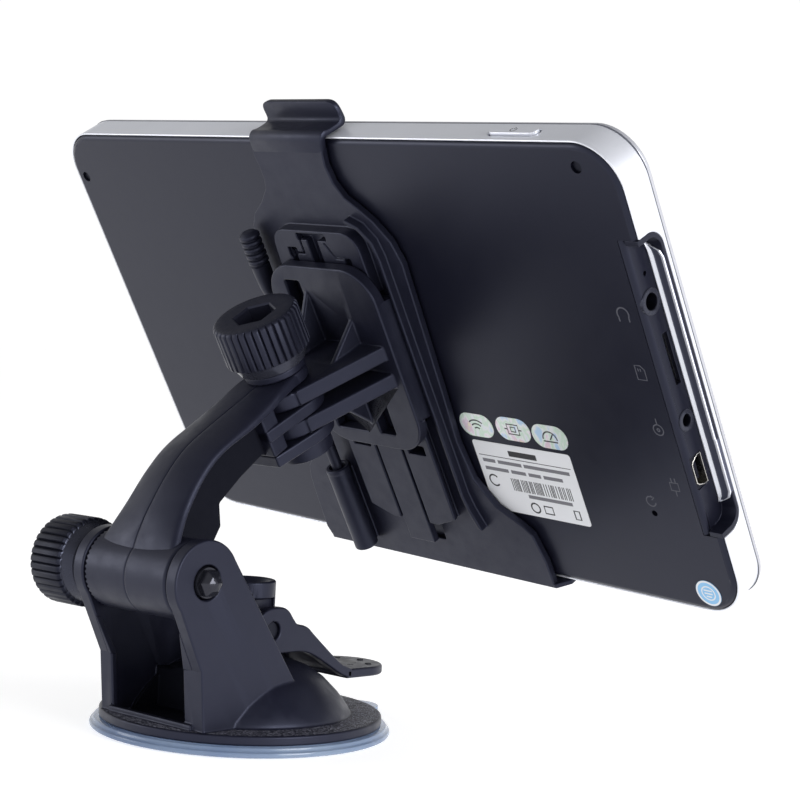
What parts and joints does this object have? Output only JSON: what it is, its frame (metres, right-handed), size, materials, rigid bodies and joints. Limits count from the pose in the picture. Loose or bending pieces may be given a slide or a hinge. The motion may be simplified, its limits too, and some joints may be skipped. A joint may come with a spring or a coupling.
{
  "type": "portable navigator with windscreen mount",
  "caption": "Flat portable navigator held in a clip-on cradle with stylus, on a curved two-pivot arm rising from a lever-locked suction base.",
  "frame": {"origin": "middle of the suction pad's lower face, which sits on the glass", "axes": "+Z out of the glass, X along the tilt axle with the tilt knob at -X, +Y from the arm's bow towards the side the screen faces"},
  "size_m": [0.185, 0.1165, 0.142],
  "materials": {
    "pad_clear": "clear soft polymer, satin",
    "mount_black": "fine satin texture",
    "knob_black": "matte, ribbed",
    "steel": "satin",
    "dark_steel": "blackened",
    "chrome": "polished",
    "cover_black": "soft-touch satin",
    "frame_silver": "silver satin paint",
    "bezel_black": "gloss",
    "touch_glass": "gloss",
    "lcd": "satin",
    "board_green": "solder mask",
    "cell_silver": "pouch foil",
    "ceramic": "matte",
    "socket_metal": "bright",
    "socket_black": "matte",
    "label_white": "printed film",
    "holo_film": "holographic film",
    "sticker_blue": "printed film",
    "nylon_white": "satin"
  },
  "bodies": {
    "base": {"suction_pad": "pad_clear", "base_housing": "mount_black", "plunger_spring": "steel", "tilt_bolt": "dark_steel", "tilt_washer": "mount_black"},
    "plunger": {"plunger": "mount_black", "lever_pin": "steel"},
    "lever": {"lever": "mount_black"},
    "tilt_knob": {"tilt_knob": "knob_black"},
    "arm": {"arm_shell": "mount_black", "detent_ring": "knob_black", "head_bolt": "steel", "head_nut": "steel", "head_washer": "mount_black"},
    "head_knob": {"head_knob": "knob_black"},
    "head_mount": {"head_plate": "mount_black"},
    "cradle": {"cradle": "mount_black"},
    "release_tongue": {"release_tongue": "mount_black"},
    "stylus": {"stylus_cap": "knob_black", "stylus_neck": "chrome", "stylus_barrel": "knob_black", "stylus_tip": "nylon_white"},
    "power_button": {"power_button": "frame_silver"},
    "reset_button": {"reset_button": "socket_black"},
    "navigator": {"back_cover": "cover_black", "side_frame": "frame_silver", "front_bezel": "bezel_black", "touch_glass": "touch_glass", "lcd_panel": "lcd", "port_panel": "bezel_black", "main_board": "board_green", "battery": "cell_silver", "speaker": "socket_black", "patch_antenna": "ceramic", "shield_cans": "socket_metal", "audio_jack": "socket_black", "av_jack": "socket_black", "usb_socket": "socket_metal", "card_socket": "socket_metal", "microphone": "socket_metal", "reset_switch": "socket_metal", "power_switch": "socket_metal", "cover_screws": "dark_steel", "info_label": "label_white", "oval_stickers": "holo_film", "round_sticker": "sticker_blue"}
  },
  "joints": [
    {"name": "plunger_drop", "type": "slide", "parent": "base", "child": "plunger", "axis": [0, 0, 1], "range_m": [-0.002, 0]},
    {"name": "lever_lift", "type": "hinge", "parent": "plunger", "child": "lever", "pos_m": [0, 0, 0.0228], "axis": [1, 0, 0], "range_deg": [0, 70]},
    {"name": "arm_tilt", "type": "hinge", "parent": "base", "child": "arm", "pos_m": [0, -0.0275, 0.036], "axis": [1, 0, 0], "range_deg": [-8, 35]},
    {"name": "tilt_knob_turn", "type": "hinge", "parent": "base", "child": "tilt_knob", "pos_m": [-0.0244, -0.0275, 0.036], "axis": [1, 0, 0], "continuous": true},
    {"name": "head_knob_turn", "type": "hinge", "parent": "arm", "child": "head_knob", "pos_m": [0, 0.0118, 0.0701], "axis": [0, -0.5299, 0.848], "continuous": true},
    {"name": "head_pan", "type": "hinge", "parent": "arm", "child": "head_mount", "pos_m": [0, 0.0118, 0.0701], "axis": [0, -0.5299, 0.848], "range_deg": [-25, 35]},
    {"name": "cradle_lift", "type": "slide", "parent": "head_mount", "child": "cradle", "axis": [0, -0.5299, 0.848], "range_m": [0, 0.052]},
    {"name": "navigator_out", "type": "slide", "parent": "cradle", "child": "navigator", "axis": [0.0872, 0.8448, 0.5279], "range_m": [0, 0.02]},
    {"name": "tongue_press", "type": "hinge", "parent": "cradle", "child": "release_tongue", "pos_m": [0.00211, 0.04342, 0.06509], "axis": [0.9962, -0.0739, -0.0462], "range_deg": [0, 4.5], "stiffness_Nm_per_rad": 0.6},
    {"name": "stylus_pull", "type": "slide", "parent": "cradle", "child": "stylus", "axis": [0, -0.5299, 0.848], "range_m": [0, 0.028]},
    {"name": "power_press", "type": "slide", "parent": "navigator", "child": "power_button", "axis": [0, 0.5299, -0.848], "range_m": [0, 0.0004], "stiffness_N_per_m": 900},
    {"name": "reset_press", "type": "slide", "parent": "navigator", "child": "reset_button", "axis": [0.0872, 0.8448, 0.5279], "range_m": [0, 0.00025], "stiffness_N_per_m": 900}
  ],
  "couplings": [
    {"joint": "lever_lift", "follows": "plunger_drop", "rad_per_m": -610.8}
  ]
}
